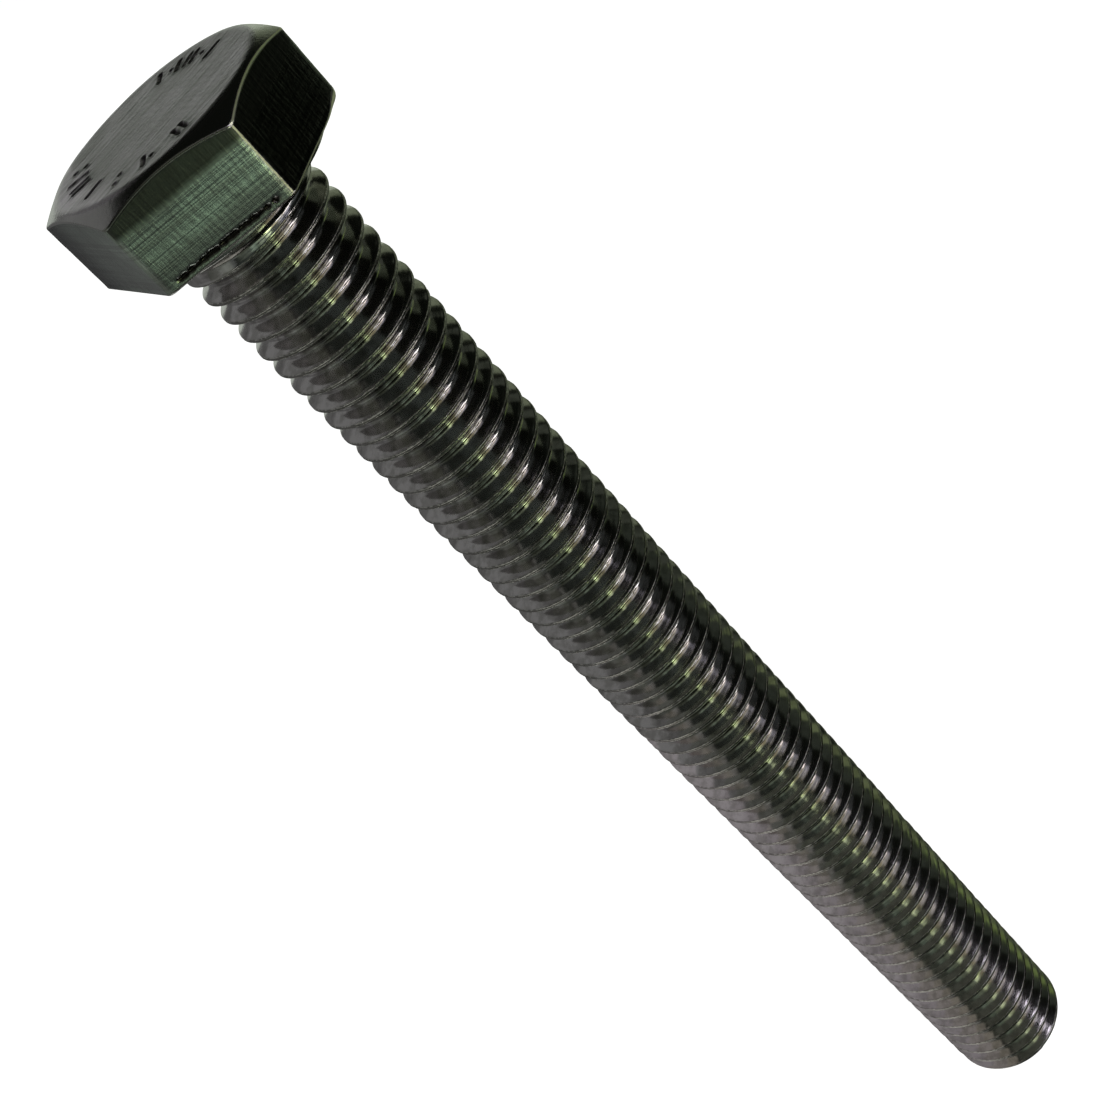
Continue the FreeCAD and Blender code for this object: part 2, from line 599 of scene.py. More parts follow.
@dataclass
class HexHead:
    """Hexagon head with its chamfered crown, washer face and the marks on its top."""

    height: float
    across_flats: float
    washer_height: float = 0.4
    washer_radius: float = 9.0
    crown_radius: float = 8.975
    crown_angle: float = 30.0
    corner_radius: float = 0.8
    crown_edge: float = 0.16
    rim_ease: float = 0.55
    lower_edge: float = 0.2
    blunt_corner: float = 60.0
    blunt_edge: float = 0.95
    tilt: float = 0.32
    high_side: float = -18.0
    sink: float = 0.045
    tear_height: float = 1.0
    tear_depth: float = 0.2
    tear_width: float = 0.13
    tear_sides: tuple[float, ...] = (0.1, 0.4, 0.25, 0.35, 0.15, 1.0)
    # Per-side weight of the painted shade bands on the flats.
    flat_shade_sides: tuple[float, ...] = (0.9, 0.35, 0.6, 0.3, 0.05, 1.0)
    # Per-side weight of the near-black painted shade on the flats.
    painted_shade_sides: tuple[float, ...] = (1.6, 0.2, 0.35, 0.2, 0.55, 0.0)
    # Corner glint width and per-side and per-corner weights of the bright edges: wear with painted
    # highlights.
    corner_glint: float = 0.1
    edge_sides: tuple[float, ...] = (1.0, 0.5, 0.5, 0.5, 0.25, 0.3)
    edge_corners: tuple[float, ...] = (1.0, 0.5, 0.5, 0.5, 0.5, 0.4)
    columns_per_side: int = 80
    corner_crowding: float = 0.7
    low_crowding: float = 1.8
    blunt_spread: float = 9.0
    washer_top_edge: float = 0.08
    washer_rim_edge: float = 0.1
    underside_radius: float = 5.0
    rows_per_edge: int = 6
    side_wave: float = 0.01
    halo_reach: float = 0.6
    tear_wander: float = 0.05
    marks: StampedMarks = field(default_factory=StampedMarks)

    def angles(self) -> Array:
        """Column angles, crowded towards the six corners.

        Within each side the angle from its middle is 30 degrees times a mix of the share along the side and
        the sine of that share's quarter turn.

        Returns:
            Angles in radians, one full turn.
        """
        share = np.linspace(-1.0, 1.0, self.columns_per_side, endpoint=False)
        curve = (1.0 - self.corner_crowding) * share + self.corner_crowding * np.sin(share * math.pi / 2)
        sides = np.arange(6)[:, None] * 60.0 + 30.0
        return np.radians((sides + 30.0 * curve[None, :]).ravel())

    def reach(self, angle: Array, corner_radius: Array) -> Array:
        """Distance from the axis to the hexagon's outline.

        On a side it is the half width across flats over the cosine of the angle from the side's middle; at a
        corner it is the far crossing of the ray with the corner's circle.

        Args:
            angle: angles in radians.
            corner_radius: rounding of the corner nearest to each angle.

        Returns:
            The distances.
        """
        half = self.across_flats / 2
        from_middle = angle % (math.pi / 3) - math.pi / 6
        offset = np.abs(from_middle)
        centre = (half - corner_radius) / math.cos(math.pi / 6)
        from_corner = math.pi / 6 - offset
        under_root = corner_radius**2 - (centre * np.sin(from_corner)) ** 2
        round_part = centre * np.cos(from_corner) + np.sqrt(np.maximum(under_root, 0.0))
        tangent = np.arctan((half - corner_radius) * math.tan(math.pi / 6) / half)
        return np.where(offset > tangent, round_part, half / np.cos(offset))

    def outline(self, angle: Array) -> tuple[list[tuple[Array, Array]], list[float]]:
        """Corners of the head's half section at every column, and how much each one is eased.

        Args:
            angle: column angles.

        Returns:
            (radius, height) arrays from the rim of the top to the bearing face, and the easing lengths.
        """
        ones = np.ones_like(angle)
        slope = math.tan(math.radians(self.crown_angle))
        reach = self.reach(angle, self.corner_radius * ones)
        crown_foot = self.height - (reach - self.crown_radius) * slope
        near_blunt = np.degrees(angle - math.radians(self.blunt_corner) + math.pi) % 360.0 - 180.0
        bluntness = np.exp(-((near_blunt / self.blunt_spread) ** 2))
        lower = self.lower_edge + (self.blunt_edge - self.lower_edge) * bluntness
        corners = [
            (self.crown_radius * ones, self.height * ones),
            (reach, crown_foot),
            (reach, self.washer_height * ones),
            (self.washer_radius * ones, self.washer_height * ones),
            (self.washer_radius * ones, 0.0 * ones),
        ]
        easing = [self.rim_ease * ones, self.crown_edge * ones, lower]
        easing += [self.washer_top_edge * ones, self.washer_rim_edge * ones]
        return corners, easing

    def rows(self, angle: Array) -> tuple[Array, Array, dict[str, Array]]:
        """The half section carried round the axis, row by row from the middle of the top to the underside.

        Every corner becomes a quadratic curve between points one easing length before and after it, and the
        stretches between are straight.

        Args:
            angle: column angles.

        Returns:
            Radii and heights, shaped (rows, columns), and the masks top, flat and edge on the same grid.
        """
        corners, easing = self.outline(angle)
        zero = np.zeros_like(angle)
        start = (zero, self.height + zero)
        finish = (zero + self.underside_radius, zero)
        points = [start, *corners, finish]
        steps_between = [64, 10, 64, 4, 3, 5]
        radii, heights, top, flat, edge = [], [], [], [], []

        def add(radius: Array, height: Array, is_top: float, is_flat: float, is_edge: float) -> None:
            """Append one row with its masks."""
            radii.append(radius)
            heights.append(height)
            top.append(is_top + zero)
            flat.append(is_flat + zero)
            edge.append(is_edge + zero)

        leave = start
        for index, corner in enumerate(corners, start=1):
            before, after = points[index - 1], points[index + 1]
            length_in = np.hypot(corner[0] - before[0], corner[1] - before[1])
            length_out = np.hypot(after[0] - corner[0], after[1] - corner[1])
            ease = easing[index - 1]
            share_in = np.minimum(ease / length_in, 0.45)
            share_out = np.minimum(ease / length_out, 0.45)
            enter = tuple(c + (b - c) * share_in for b, c in zip(before, corner))
            for step in range(steps_between[index - 1]):
                part = step / steps_between[index - 1]
                if index == 3:
                    part = 1.0 - (1.0 - part) ** self.low_crowding
                row = tuple(a + (b - a) * part for a, b in zip(leave, enter))
                add(*row, float(index == 1), float(index == 3), 0.0)
            leave = tuple(c + (a - c) * share_out for a, c in zip(after, corner))
            for step in range(self.rows_per_edge):
                part = step / self.rows_per_edge
                row = tuple(
                    (1 - part) ** 2 * a + 2 * part * (1 - part) * c + part**2 * b
                    for a, c, b in zip(enter, corner, leave)
                )
                # These rows feed the edge mask, which the finish brightens with wear and painted highlights.
                glint = 1.0 if index in (2, 3) else 0.0
                add(*row, 1.0 - part if index == 1 else 0.0, 0.0, glint * math.sin(math.pi * (part + 0.08)))
        for step in range(steps_between[-1] + 1):
            part = step / steps_between[-1]
            add(*(a + (b - a) * part for a, b in zip(leave, finish)), 0.0, 0.0, 0.0)
        add(zero, zero, 0.0, 0.0, 0.0)
        masks = {"top": np.array(top), "flat": np.array(flat), "edge": np.array(edge)}
        return np.array(radii), np.array(heights), masks

    def tear(self, angle: Array, height: Array) -> Array:
        """Ragged groove low on each flat, where the trimming die's clean cut ended and the metal tore.

        Its line wanders about the tear height and its depth varies along the side; across, it is bell-shaped.
        It stops short of the corners.

        Args:
            angle: angles in radians.
            height: heights.

        Returns:
            Depth as a share of the tear depth.
        """
        turn = angle / (2 * math.pi)
        line = self.tear_height + self.tear_wander * waves(turn, (7.0, 19.0, 41.0, 83.0), 21)
        strength = np.clip(0.75 + 0.9 * waves(turn, (5.0, 31.0, 67.0, 111.0), 23), 0.15, 1.0)
        width = self.tear_width * (0.75 + 0.5 * strength)
        from_corner = math.pi / 6 - np.abs(angle % (math.pi / 3) - math.pi / 6)
        sides = np.array(self.tear_sides)[np.floor(angle / (math.pi / 3)).astype(int) % 6]
        inside = sides * smooth_step(0.05, 0.12, from_corner)
        return strength * inside * np.exp(-(((height - line) / width) ** 2))

    def skin(self) -> Skin:
        """Head surface: the half section at every column angle, with its marks, lean, tear line and masks.

        Returns:
            The closed surface.
        """
        angle = self.angles()
        radii, heights, masks = self.rows(angle)
        grid = np.broadcast_to(angle, radii.shape)
        change, stamp = self.marks.relief(radii, grid)
        masks["stamp"] = stamp * masks["top"]
        reach = radii / self.crown_radius
        heights = heights + masks["top"] * (change - self.sink * (1.0 - reach**8))
        lean = 0.5 * self.tilt * (1.0 - reach * np.cos(grid - math.radians(self.high_side)))
        heights = heights - lean * smooth_step(0.6 * self.height, self.height, heights)
        torn = self.tear(grid, heights) * masks["flat"]
        masks["torn"] = torn
        side = np.floor(grid / (math.pi / 3)).astype(int) % 6
        # Painted shade bands on the flats, weighted side by side.
        masks["flat_shade"] = np.array(self.flat_shade_sides)[side] * masks["flat"]
        # Painted shade towards near black on some sides, deeper towards one end of each side.
        along = (grid % (math.pi / 3)) / (math.pi / 3)
        fading = np.maximum(1.5 - along, 2.1 - 2.2 * along)
        shade = np.minimum(np.array(self.painted_shade_sides)[side] * fading, 1.0)
        masks["painted_shade"] = shade * masks["flat"]
        # Bright edges and corner glints: wear with painted highlights, weighted by side and corner.
        from_corner = (math.pi / 6 - np.abs(grid % (math.pi / 3) - math.pi / 6)) * radii
        corner = np.round(grid / (math.pi / 3)).astype(int) % 6
        glint = np.array(self.edge_corners)[corner] * np.exp(-((from_corner / self.corner_glint) ** 2))
        masks["edge"] = np.maximum(masks["edge"] * np.array(self.edge_sides)[side], masks["flat"] * glint)
        masks["halo"] = masks["top"] * np.exp(-((self.marks.closeness(radii, grid) / self.halo_reach) ** 2))
        side_wave = self.side_wave * (1.0 + waves(heights / 3.0, (0.5, 1.1, 1.9), 5))
        radii = radii - masks["flat"] * side_wave - self.tear_depth * torn
        row_count, column_count = radii.shape
        index = np.arange(row_count * column_count).reshape(row_count, column_count)
        right = np.roll(index, -1, axis=1)
        quads = np.stack([index[:-1], index[1:], right[1:], right[:-1]], axis=-1).reshape(-1, 4)
        round_mm = self.across_flats * math.pi / 2 * 1.1
        turn = np.arange(column_count + 1) / column_count * round_mm
        u = np.broadcast_to(turn, (row_count, column_count + 1))
        v = np.concatenate([heights, heights[:, :1]], axis=1)
        uv = np.stack([u, v], axis=-1)
        uv = np.stack([uv[:-1, :-1], uv[1:, :-1], uv[1:, 1:], uv[:-1, 1:]], axis=2).reshape(-1, 4, 2)
        corners, corner_uv = split_quads(quads, uv)
        flat_masks = {name: values.ravel() for name, values in masks.items()}
        skin = Skin(unit_points(radii, grid, heights).reshape(-1, 3), corners, corner_uv, flat_masks)
        pole = index.ravel().copy()
        pole[index[0]] = index[0, 0]
        pole[index[-1]] = index[-1, 0]
        return skin.welded(pole)

    def build(self) -> bpy.types.Object:
        """Make and dress the head.

        Returns:
            The head's object.
        """
        made = self.skin().to_object("bolt_head")
        made.data.materials.append(ForgedFinish().material())
        return made


# ---------------------------------------------------------------- shank


@dataclass
class ThreadedShank:
    """Neck, rolled right-hand thread and chamfered end, as surfaces whose rows follow the helix."""

    length: float
    pitch: float = PITCH
    major_radius: float = 6.3
    depth: float = 0.57 * PITCH
    root_radius: float = 0.165 * PITCH
    crest_edge: float = 0.062
    crest_softness: float = 0.035
    seam_depth: float = 0.035
    root_phase: float = 0.52
    neck_radius: float = 5.65
    neck_length: float = 0.5 * PITCH
    neck_cone: float = 0.5
    fillet: float = 0.7
    hidden_rise: float = 1.2
    end_radius: float = 4.65
    end_chamfer: float = 1.7
    end_dish: float = 0.12
    end_span: float = 1.4
    run_out_top: float = -0.5
    run_out_turns: float = 0.9
    columns: int = 128
    dents: int = 46
    dent_widths: tuple[float, float] = (0.004, 0.016)
    dent_depths: tuple[float, float] = (0.03, 0.13)
    dent_reach: float = 0.09
    seam_width: float = 0.03
    end_bulge: float = 0.22
    row_snap: float = 0.035
    lip_width: float = 0.014

    def row_phases(self) -> Array:
        """Where the rows lie across one turn, from crest to crest, as shares of the pitch.

        Returns:
            Rising shares from 0, without the closing 1.
        """
        half = np.array([0.0, 0.030, 0.048, 0.062, 0.078, 0.11, 0.17, 0.24, 0.31, 0.375, 0.44])
        return np.concatenate([half, [0.5], 1.0 - half[:0:-1]])

    def groove(self, share: Array) -> Array:
        """Depth of the rolled groove below the crest.

        The flanks rise from the root's arc at 60 degrees to the axis; a smooth minimum rounds them into the
        crest, and the crest has a shallow seam along its middle where the rolled metal met.

        Args:
            share: position across one turn, 0 and 1 at the crests.

        Returns:
            Depth in millimetres.
        """
        across = np.abs(share - 0.5) * self.pitch
        touch = self.root_radius * math.cos(math.pi / 6)
        arc = self.root_radius - np.sqrt(np.maximum(self.root_radius**2 - across**2, 0.0))
        rise_at_touch = self.root_radius * (1.0 - math.sin(math.pi / 6))
        flank = rise_at_touch + (across - touch) / math.tan(math.pi / 6)
        height = np.where(across < touch, arc, flank)
        soft = self.crest_softness
        height = -soft * np.logaddexp(-height / soft, -self.depth / soft)
        seam = self.seam_depth * np.exp(-(((self.pitch / 2 - across) / (self.seam_width * self.pitch)) ** 2))
        return self.depth - height + seam

    def blank(self, way: Array) -> tuple[Array, Array]:
        """The shank's smooth half section as radius and height along a way.

        The way equals the height between the end face and the bearing face.  Below, it runs from the middle
        of the end face out to its rim; above, it climbs inside the head and closes on the axis.

        Args:
            way: positions along the section in millimetres.

        Returns:
            Radius and height at each position.
        """
        bottom = -self.length
        height = np.clip(way, bottom, self.hidden_rise / 2)
        end_share = np.clip((way - bottom + self.end_span) / self.end_span, 0.0, 1.0)
        radius = np.full(way.shape, self.major_radius)
        up = np.clip((way - bottom) / self.end_chamfer, 0.0, 1.0)
        bulge = up + self.end_bulge * up * (1.0 - up)
        chamfer = self.end_radius + (self.major_radius - self.end_radius) * bulge
        radius = np.where(way < bottom + self.end_chamfer, chamfer, radius)
        radius = np.where(way < bottom, self.end_radius * end_share, radius)
        height = np.where(way < bottom, bottom + self.end_dish * (1.0 - end_share**4), height)
        cone_foot = -self.neck_length - self.neck_cone
        cone = smooth_step(cone_foot, -self.neck_length, way)
        neck = self.major_radius + (self.neck_radius - self.major_radius) * cone
        radius = np.where(way > cone_foot, neck, radius)
        into = np.clip((way + self.fillet) / self.fillet, 0.0, 1.0)
        fillet_radius = self.neck_radius + self.fillet * (1.0 - np.sqrt(1.0 - into**2))
        radius = np.where(way > -self.fillet, fillet_radius, radius)
        closing = np.clip((way - self.hidden_rise / 2) / (self.hidden_rise / 2), 0.0, 1.0)
        radius = np.where(way > self.hidden_rise / 2, radius * (1.0 - closing), radius)
        return radius, height

    def dent_relief(self, turn: Array, share: Array, count: int) -> Array:
        """Small knocks on the crests, each a bell-shaped hollow on the helix.

        Args:
            turn: helix turns.
            share: position across the turn.
            count: how many knocks.

        Returns:
            Depth in millimetres.
        """
        random = np.random.default_rng(11)
        places = random.uniform(1.0, self.length / self.pitch - 2.0, count)
        widths = random.uniform(*self.dent_widths, count)
        depths = random.uniform(*self.dent_depths, count)
        to_crest = np.minimum(share, 1.0 - share)
        near = np.exp(-((to_crest / self.dent_reach) ** 2))
        total = np.zeros(turn.shape)
        for place, width, deep in zip(places, widths, depths):
            total += deep * np.exp(-(((turn + (share > 0.5) - place) / width) ** 2))
        return total * near

    def skin(self, first_turn: float, last_turn: float) -> Skin:
        """One stretch of the shank as a strip of helix turns, each row joined to the next turn's first row.

        A point at helix turn t and share f across the turn has height (t + f) pitches, angle t turns, and the
        smaller of the blank's radius and the major radius less the groove's depth.  The groove fades over the
        last turn below the head.  The thread's radius also wanders slightly, and its crests have knocks.

        Args:
            first_turn: helix turn where the stretch starts, counted from the end face.
            last_turn: helix turn where it ends.

        Returns:
            The closed surface.
        """
        shares = self.row_phases()
        steps = np.arange(round(first_turn * self.columns), round(last_turn * self.columns) + 1)
        turns = np.concatenate([steps[:1] - 1, steps, steps[-1:] + 1]) / self.columns
        around = np.concatenate([shares[-1:] - 1.0, shares, [1.0], shares[1:2] + 1.0])
        turn, share = np.meshgrid(turns, around, indexing="ij")
        points, masks = self.surface(turn, share)
        along = points[2:, 1:-1] - points[:-2, 1:-1]
        across = points[1:-1, 2:] - points[1:-1, :-2]
        normals = np.cross(along, across)
        size = np.linalg.norm(normals, axis=-1, keepdims=True)
        down = np.array([0.0, 0.0, -1.0])
        normals = np.where(size > SHORTEST_NORMAL, normals / np.maximum(size, SHORTEST_NORMAL), down)
        inner = (slice(1, -1), slice(1, -1))
        masks = {name: values[inner] for name, values in masks.items()}
        return self._strip(points[inner], normals, masks, turn[inner], share[inner])

    def surface(self, turn: Array, share: Array) -> tuple[Array, dict[str, Array]]:
        """Points of the shank on a grid of helix turns and shares across the turn.

        Args:
            turn: helix turns, counted from the end face.
            share: position across the turn, 0 and 1 at the crests.

        Returns:
            Points, and the masks crest, lip, root and end.
        """
        way = (turn + share + self.root_phase - 0.5) * self.pitch - self.length
        for edge_place in (-self.length, -self.length + self.end_chamfer):
            near = np.abs(way - edge_place) < self.row_snap * self.pitch
            way = np.where(near, edge_place, way)
        blank_radius, height = self.blank(way)
        lap = np.floor(share)
        turn = turn + lap
        share = share - lap
        root_height = (turn + self.root_phase) * self.pitch - self.length
        top = self.run_out_top * self.pitch
        fade = smooth_step(top, top - self.run_out_turns * self.pitch, root_height)
        slow = waves(turn, (1.0, 2.0, 3.7, 0.31), 2)
        quick = waves(turn, (17.0, 29.0, 41.0), 4)
        wander = fade * (0.012 * slow + 0.010 * quick - 0.014)
        thread = self.major_radius - fade * self.groove(share)
        thread = thread + wander - self.dent_relief(turn, share, self.dents)
        threaded = (way > -self.length) & (way < -self.fillet)
        radius = np.where(threaded, np.minimum(blank_radius, thread), blank_radius)
        points = unit_points(radius, 2 * math.pi * turn, height)
        to_crest = np.minimum(share, 1.0 - share)
        on_thread = fade * threaded
        # The crest mask darkens the crests with dull metal and painted shade; the lip mask brightens their
        # edges with wear and painted highlights.
        masks = {
            "crest": smooth_step(0.10, 0.06, to_crest) * on_thread,
            "lip": np.exp(-(((to_crest - self.crest_edge) / self.lip_width) ** 2)) * on_thread,
            "root": smooth_step(0.36, 0.5, to_crest) * on_thread,
            "end": (way <= -self.length).astype(float),
        }
        return points, masks

    def _strip(
        self,
        points: Array,
        normals: Array,
        masks: dict[str, Array],
        turn: Array,
        share: Array,
    ) -> Skin:
        """Join the helix grid into a closed surface.

        The last row at any step is the first row at the step one full turn later, where that step exists; the
        loops left open at both ends are closed by fans to a point on the axis.

        Args:
            points: grid of points, (steps, rows + 1, 3).
            normals: surface normals on the same grid.
            masks: mask values on the same grid.
            turn: helix turns on the grid.
            share: shares across the turn on the grid.

        Returns:
            The closed surface.
        """
        steps, row_count = points.shape[:2]
        last = row_count - 1
        index = np.arange(steps * row_count).reshape(steps, row_count)
        alias = index.copy()
        alias[: steps - self.columns, last] = index[self.columns :, 0]
        quads = np.stack([alias[:-1, :-1], alias[1:, :-1], alias[1:, 1:], alias[:-1, 1:]], axis=-1)
        quads = quads.reshape(-1, 4)
        uv = np.stack([turn, share], axis=-1)
        uv = np.stack([uv[:-1, :-1], uv[1:, :-1], uv[1:, 1:], uv[:-1, 1:]], axis=2).reshape(-1, 4, 2)
        corners, corner_uv = split_quads(quads, uv)
        flat_points = points.reshape(-1, 3)
        corner_normals = normals.reshape(-1, 3)[corners]
        lower_loop = np.concatenate([alias[: self.columns + 1, 0], alias[0, last:0:-1]])
        upper_rim = alias[steps - 1 - self.columns : steps, last]
        upper_loop = np.concatenate([alias[steps - 1, :-1], upper_rim[::-1]])
        fans = []
        fan_normals = []
        hubs = []
        for number, (loop, sign) in enumerate(((lower_loop, -1), (upper_loop, 1))):
            hubs.append(np.array([0.0, 0.0, flat_points[loop, 2].mean()]))
            fan = np.stack([np.full(len(loop), len(flat_points) + number), loop, np.roll(loop, -1)], axis=-1)
            fans.append(fan[:, ::sign])
            fan_normals.append(np.broadcast_to([0.0, 0.0, float(sign)], (len(loop), 3, 3)))
        corners = np.concatenate([corners, *fans])
        corner_normals = np.concatenate([corner_normals, *fan_normals])
        corner_uv = np.concatenate([corner_uv, np.zeros((len(corners) - len(corner_uv), 3, 2))])
        flat_points = np.concatenate([flat_points, hubs])
        flat_masks = {name: np.append(values.ravel(), [0.0, 0.0]) for name, values in masks.items()}
        pole = np.arange(len(flat_points))
        on_axis = np.flatnonzero(np.hypot(flat_points[:-2, 0], flat_points[:-2, 1]) < ON_AXIS)
        for level in (True, False):
            group = on_axis[(flat_points[on_axis, 2] > -self.length / 2) == level]
            pole[group] = group[:1]
        return Skin(flat_points, corners, corner_uv, flat_masks, corner_normals).welded(pole)

    def build(self) -> list[bpy.types.Object]:
        """Make and dress the shank in two stretches, which keeps each one's triangle count moderate.

        Returns:
            The lower and upper stretch.
        """
        finish = RolledFinish().material()
        lowest = -self.root_phase - 0.5 - self.end_span / self.pitch
        highest = (self.length + self.hidden_rise) / self.pitch + 0.5
        middle = 0.5 * (lowest + highest)
        made = []
        for name, first, last in (("shank_lower", lowest, middle), ("shank_upper", middle, highest)):
            piece = self.skin(first, last).to_object(name)
            piece.data.materials.append(finish)
            made.append(piece)
        return made


# ---------------------------------------------------------------- studio


class Lamp(Enum):
    """Round panels about the bolt: turn and rise in degrees, width in mm, red, green and blue radiance.

    All radiances but the last two were fitted by a program, and some of them were then multiplied by a
    factor.
    """

    WIDE_WEST10_LOW22 = (-10.0, -22.0, 413.0, 0.061, 0.075, 0.072)
    WIDE_WEST50_LOW22 = (-50.0, -22.0, 413.0, 0.035, 0.042, 0.039)
    WIDE_EAST110_LOW22 = (110.0, -22.0, 413.0, 0.231, 0.265, 0.19)
    WIDE_WEST98_LOW50 = (-98.0, -50.0, 413.0, 0.847, 0.856, 0.828)
    WIDE_WEST155_HIGH34 = (-155.0, 34.0, 413.0, 0.08, 0.082, 0.083)
    WIDE_EAST85_HIGH34 = (85.0, 34.0, 413.0, 0.031, 0.037, 0.029)
    WIDE_WEST35_HIGH62 = (-35.0, 62.0, 413.0, 0.068, 0.072, 0.058)
    WIDE_WEST50_HIGH6 = (-50.0, 6.0, 413.0, 0.082, 0.095, 0.072)
    WIDE_WEST80_HIGH6 = (-80.0, 6.0, 413.0, 0.113, 0.124, 0.121)
    WIDE_EAST10_HIGH6 = (10.0, 6.0, 413.0, 0.61, 0.572, 0.368)
    WIDE_EAST100_HIGH6 = (100.0, 6.0, 413.0, 0.083, 0.102, 0.071)
    WIDE_EAST130_HIGH6 = (130.0, 6.0, 413.0, 0.181, 0.211, 0.141)
    WIDE_EAST160_HIGH6 = (160.0, 6.0, 413.0, 0.39, 0.429, 0.376)
    WIDE_EAST40_HIGH6 = (40.0, 6.0, 413.0, 0.062, 0.071, 0.073)
    SMALL_WEST12_LOW8 = (-12.0, -8.0, 137.0, 1.613, 1.933, 1.213)
    SMALL_WEST24_LOW8 = (-24.0, -8.0, 137.0, 0.372, 0.45, 0.32)
    SMALL_WEST36_LOW8 = (-36.0, -8.0, 137.0, 0.268, 0.358, 0.274)
    SMALL_EAST13_LOW8 = (13.0, -8.0, 137.0, 0.463, 0.49, 0.669)
    SMALL_EAST25_LOW8 = (25.0, -8.0, 137.0, 0.693, 0.696, 0.843)
    SMALL_EAST10_HIGH22 = (10.0, 22.0, 137.0, 1.941, 1.985, 2.211)
    SMALL_EAST34_HIGH29 = (34.0, 29.0, 137.0, 4.493, 4.458, 4.397)
    SMALL_EAST100_HIGH32 = (100.0, 32.0, 137.0, 0.124, 0.153, 0.064)
    SMALL_EAST115_HIGH32 = (115.0, 32.0, 137.0, 0.051, 0.058, 0.045)
    SMALL_EAST85_HIGH32 = (85.0, 32.0, 137.0, 0.166, 0.233, 0.06)
    SMALL_EAST18_HIGH50 = (18.0, 50.0, 137.0, 5.268, 4.987, 5.782)
    SMALL_WEST12_HIGH8 = (-12.0, 8.0, 137.0, 3.483, 4.423, 2.159)
    SMALL_EAST25_HIGH8 = (25.0, 8.0, 137.0, 3.639, 3.376, 3.588)
    WIDE_WEST90_LOW22 = (-90.0, -22.0, 413.0, 0.05, 0.05, 0.05)
    WIDE_WEST130_LOW22 = (-130.0, -22.0, 413.0, 0.06, 0.06, 0.06)


class Strip(Enum):
    """Glowing strips of the bench beside the bolt: middle along it, height, size both ways, radiance.

    The radiances were fitted by a program.
    """

    FROM_PAST12_LOW = (17.0, -120.0, 10.0, 120.0, 0.267, 0.247, 0.239)
    FROM_PAST22_LOW = (33.5, -120.0, 23.0, 120.0, 0.223, 0.207, 0.175)
    FROM_PAST45_LOW = (72.5, -120.0, 55.0, 120.0, 0.255, 0.262, 0.251)
    FROM_PAST5_LOW = (5.5, -120.0, 13.0, 120.0, 0.285, 0.265, 0.283)
    FROM_PAST12_MIDDLE = (17.0, -20.0, 10.0, 80.0, 0.104, 0.109, 0.099)
    FROM_PAST22_MIDDLE = (33.5, -20.0, 23.0, 80.0, 0.078, 0.086, 0.067)
    FROM_PAST5_MIDDLE = (5.5, -20.0, 13.0, 80.0, 0.129, 0.129, 0.131)


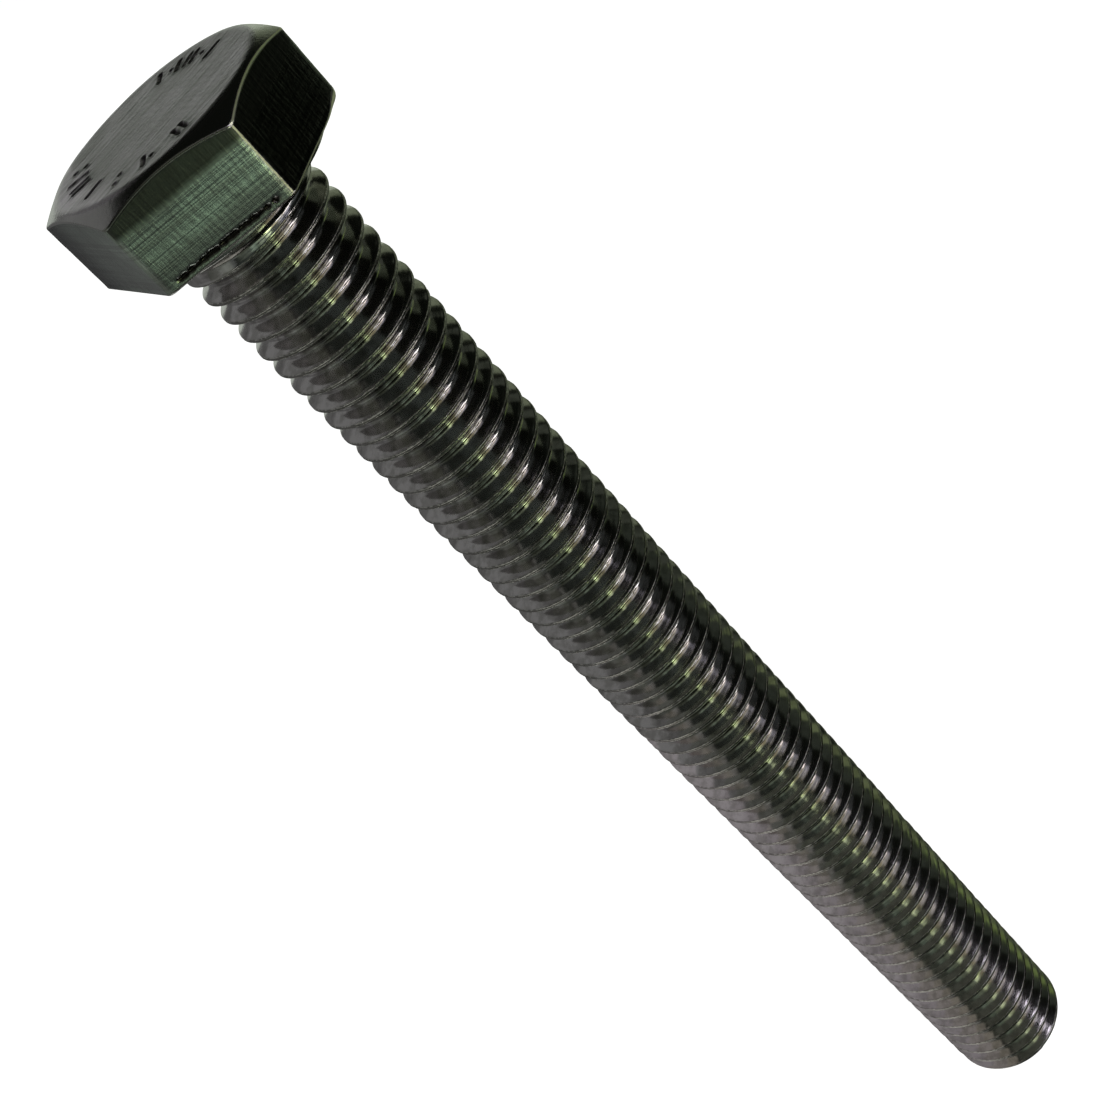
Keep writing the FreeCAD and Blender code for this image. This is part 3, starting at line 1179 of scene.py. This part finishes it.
@dataclass
class Studio:
    """Pale floor and dome, round panels, the bench's strips, a dim room and the camera."""

    floor_height: float
    floor_side: float = 6000.0
    middle_height: float = -60.0
    lamp_distance: float = 600.0
    bench_turn: float = 30.0
    bench_gap: float = 9.8
    camera_turn: float = -18.43
    camera_reach: float = 125.2
    camera_height: float = 41.8
    aim: tuple[float, float, float] = (-0.2, -0.7, -40.5)
    roll: float = 43.76
    lens: float = 58.97
    sensor: float = 36.0
    nearest: float = 0.005
    farthest: float = 20.0
    room_colour: tuple[float, float, float, float] = (0.80, 1.0, 0.72, 1.0)
    room_strength: float = 0.004
    pale: tuple[float, float, float, float] = (0.86, 0.86, 0.86, 1.0)
    palest: tuple[float, float, float, float] = (0.9, 0.9, 0.9, 1.0)
    glow: tuple[float, float, float, float] = (1.0, 1.0, 1.0, 1.0)
    matt: float = 0.9
    dome_rings: int = 14
    dome_meridians: int = 48

    def backdrop(self, name: str, mesh: bpy.types.Mesh, bench: Bench, colour: Any) -> bpy.types.Object:
        """Dress a backdrop so that it glows white to the camera and isn't mirrored in the metal.

        Args:
            name: the object's name.
            mesh: its shape.
            bench: the material to finish.
            colour: its base colour, plain or a socket.

        Returns:
            The new object.
        """
        bench.feed(bench.surface, "Base Color", colour)
        bench.feed(bench.surface, "Roughness", self.matt)
        bench.feed(bench.surface, "Emission Color", self.glow)
        bench.feed(bench.surface, "Emission Strength", 1.0)
        made = bpy.data.objects.new(name, mesh)
        made.data.materials.append(bench.material)
        bpy.context.scene.collection.objects.link(made)
        made.visible_glossy = False
        made.visible_diffuse = False
        return made

    def floor(self) -> None:
        """Lay the floor at the height of the threaded end."""
        bench = Bench("pale_floor")
        grain = bench.noise(bench.place("Object", (1.0, 1.0, 1.0)), 40.0, 3.0)
        half = self.floor_side / 2 * MM
        level = self.floor_height * MM
        mesh = bpy.data.meshes.new("floor")
        square = [(-half, -half, level), (half, -half, level), (half, half, level), (-half, half, level)]
        mesh.from_pydata(square, [], [(0, 1, 2, 3)])
        ground = self.backdrop("floor", mesh, bench, bench.blend(grain, self.pale, self.palest))

    def dome(self) -> None:
        """Close the room with a pale dome of rings and meridians, its radius half the floor's side."""
        radius = self.floor_side / 2
        rise = np.linspace(-0.05, 1.0, self.dome_rings) * math.pi / 2
        round_angle = np.arange(self.dome_meridians) / self.dome_meridians * 2 * math.pi
        rise_grid, angle_grid = np.meshgrid(rise, round_angle, indexing="ij")
        height = radius * np.sin(rise_grid) + self.floor_height
        points = unit_points(radius * np.cos(rise_grid), angle_grid, height)
        index = np.arange(points.shape[0] * points.shape[1]).reshape(points.shape[:2])
        right = np.roll(index, -1, axis=1)
        faces = np.stack([index[:-1], index[1:], right[1:], right[:-1]], axis=-1).reshape(-1, 4)
        mesh = bpy.data.meshes.new("dome")
        mesh.from_pydata((points.reshape(-1, 3) * MM).tolist(), [], faces.tolist())
        made = self.backdrop("dome", mesh, Bench("pale_dome"), self.pale)
        made.visible_shadow = False

    def panel(self, lamp: Lamp) -> None:
        """Hang one soft panel, facing the middle of the bolt.

        Args:
            lamp: which panel.
        """
        turn, rise, width, *radiance = lamp.value
        turn, rise = math.radians(turn), math.radians(rise)
        away = Vector((math.cos(rise) * math.cos(turn), math.cos(rise) * math.sin(turn), math.sin(rise)))
        data = bpy.data.lights.new(lamp.name.lower(), "AREA")
        data.shape = "DISK"
        data.size = width * MM
        brightest = max(radiance)
        data.color = [value / brightest for value in radiance]
        data.energy = brightest * math.pi * math.pi * (data.size / 2) ** 2
        made = bpy.data.objects.new(lamp.name.lower(), data)
        centre = Vector((0.0, 0.0, self.middle_height)) * MM
        made.location = centre + away * (self.lamp_distance * MM)
        made.rotation_euler = (-away).to_track_quat("-Z", "Y").to_euler()
        bpy.context.scene.collection.objects.link(made)

    def strip(self, strip: Strip) -> None:
        """Set one glowing strip flat on the bench beside the bolt, facing the bolt and hidden from view.

        Args:
            strip: which strip.
        """
        along, height, width, tall, *radiance = strip.value
        turn = math.radians(self.bench_turn)
        out = Vector((math.cos(turn), math.sin(turn), 0.0))
        across = Vector((math.sin(turn), -math.cos(turn), 0.0))
        data = bpy.data.lights.new(strip.name.lower(), "AREA")
        data.shape = "RECTANGLE"
        data.size = width * MM
        data.size_y = tall * MM
        brightest = max(radiance)
        data.color = [value / brightest for value in radiance]
        data.energy = brightest * math.pi * data.size * data.size_y
        made = bpy.data.objects.new(strip.name.lower(), data)
        made.rotation_euler = out.to_track_quat("-Z", "Y").to_euler()
        made.location = (across * along - out * self.bench_gap + Vector((0.0, 0.0, height))) * MM
        made.visible_camera = False
        bpy.context.scene.collection.objects.link(made)

    def room(self) -> None:
        """Fill the room with a very dim green grey."""
        world = bpy.data.worlds.new("room")
        world.use_nodes = True
        background = world.node_tree.nodes["Background"]
        background.inputs["Color"].default_value = self.room_colour
        background.inputs["Strength"].default_value = self.room_strength
        bpy.context.scene.world = world

    def camera(self) -> None:
        """Set the camera beside and above the head, rolled so that the bolt runs down to the right."""
        turn = math.radians(self.camera_turn)
        out = Vector((math.cos(turn), math.sin(turn), 0.0))
        place = out * self.camera_reach + Vector((0.0, 0.0, self.camera_height))
        look = (Vector(self.aim) - place).to_track_quat("-Z", "Y")
        data = bpy.data.cameras.new("camera")
        data.lens = self.lens
        data.sensor_width = self.sensor
        data.clip_start = self.nearest
        data.clip_end = self.farthest
        made = bpy.data.objects.new("camera", data)
        level = look.to_matrix().to_4x4()
        roll = Matrix.Rotation(-math.radians(self.roll), 4, "Z")
        made.matrix_world = Matrix.Translation(place * MM) @ level @ roll
        bpy.context.scene.collection.objects.link(made)
        bpy.context.scene.camera = made

    def build(self) -> None:
        """Set up everything round the bolt."""
        self.floor()
        self.dome()
        for lamp in Lamp:
            self.panel(lamp)
        for strip in Strip:
            self.strip(strip)
        self.room()
        self.camera()
        bpy.context.scene.view_settings.view_transform = "Standard"


def fit_to_frame(piece: bpy.types.Object) -> None:
    """Tie a piece to the frame: it rides on the bolt's body and stands for the bolt's node.

    Args:
        piece: the piece.
    """
    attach(piece, BODY)
    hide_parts(NODE)
    LOG.info("%s: %d points, %d triangles", piece.name, len(piece.data.vertices), len(piece.data.polygons))


def main() -> None:
    """Build the bolt's surfaces on its CAD frame, sized from the CAD part's box, then the studio."""
    logging.basicConfig(level=logging.INFO, format="%(name)s %(message)s")
    low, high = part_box(NODE)
    head = HexHead(height=high[2] / MM, across_flats=(high[1] - low[1]) / MM)
    shank = ThreadedShank(length=-low[2] / MM)
    for piece in [head.build(), *shank.build()]:
        fit_to_frame(piece)
    Studio(floor_height=low[2] / MM).build()


if __name__ == "__main__":
    main()
